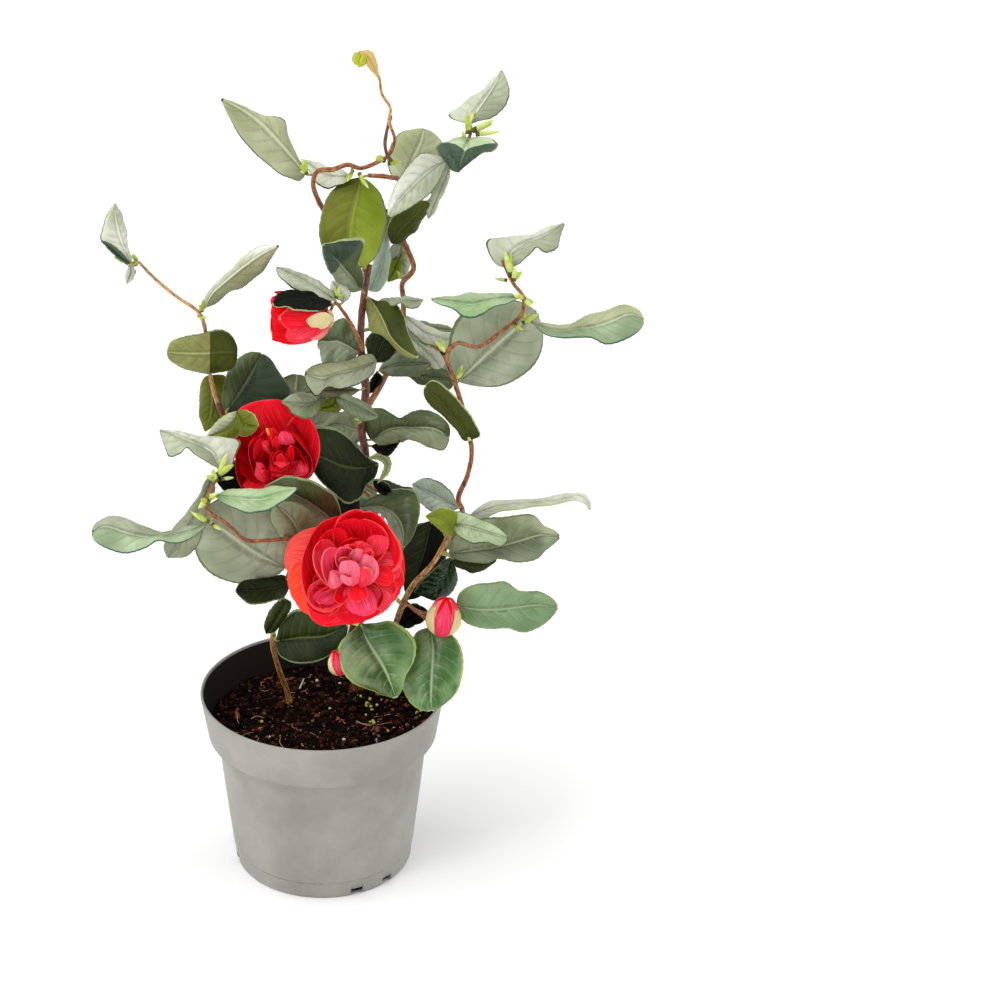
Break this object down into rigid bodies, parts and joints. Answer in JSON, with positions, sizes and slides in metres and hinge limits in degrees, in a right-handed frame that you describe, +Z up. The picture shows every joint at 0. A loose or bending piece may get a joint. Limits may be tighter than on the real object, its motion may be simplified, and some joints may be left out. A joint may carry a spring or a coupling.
{
  "type": "potted camellia shrub",
  "caption": "Young flowering evergreen shrub with twisting stems, large glossy leaves and red blooms, standing in a round plastic grower's pot.",
  "frame": {"origin": "centre of the flat underside of the pot", "axes": "+Z up, +X to the right of the front view, -Y towards the viewer of the front"},
  "size_m": [0.393, 0.2644, 0.6387],
  "materials": {
    "pot": "satin",
    "soil": "matte",
    "bark": "satin",
    "foliage": "satin",
    "foliage_dark": "satin",
    "petals": "matte"
  },
  "bodies": {
    "root": {"pot": "pot", "soil": "soil", "trunk": "bark", "leader_low": "bark", "leader_high": "bark", "leader_tip": "bark", "inner_bough": "bark", "inner_hook": "bark", "right_stem_low": "bark", "right_stem_high": "bark", "right_crook": "bark", "left_stem": "bark", "left_crook": "bark", "left_bough": "bark", "left_bough_tip": "bark", "back_left_bough": "bark", "back_right_bough": "bark", "back_low_bough": "bark", "bloom_front": "petals", "bloom_left": "petals", "bloom_side": "petals", "leaves_crown_left": "foliage", "leaves_crown_front": "foliage", "leaves_crown_back": "foliage", "leaves_crown_right": "foliage", "leaves_top_right": "foliage", "leaves_collar_left": "foliage", "leaves_collar_right": "foliage", "leaves_side": "foliage", "leaves_inner_right": "foliage", "leaves_inner_low": "foliage", "leaves_right_round": "foliage", "leaves_right_top": "foliage", "leaves_right_tip": "foliage", "leaves_right_olive": "foliage", "leaves_centre_left": "foliage", "leaves_centre_dark": "foliage_dark", "leaves_centre_right": "foliage", "leaves_left_tip": "foliage", "leaves_left_arm": "foliage", "leaves_left_cup": "foliage", "leaves_left_dark": "foliage_dark", "leaves_low_left_top": "foliage", "leaves_low_left_shelf": "foliage", "leaves_low_left_round": "foliage", "leaves_low_left_tip": "foliage", "leaves_front_left": "foliage", "leaves_low_left_dark": "foliage_dark", "leaves_heart_right": "foliage", "leaves_right_low_long": "foliage", "leaves_right_low": "foliage", "leaves_right_low_dark": "foliage_dark", "leaves_low_right": "foliage", "leaves_front_low": "foliage", "leaves_back_left": "foliage", "leaves_back_low_left": "foliage", "leaves_back_centre": "foliage", "leaves_back_right": "foliage", "leaves_back_low_right": "foliage", "leaves_back_top": "foliage"}
  },
  "joints": []
}
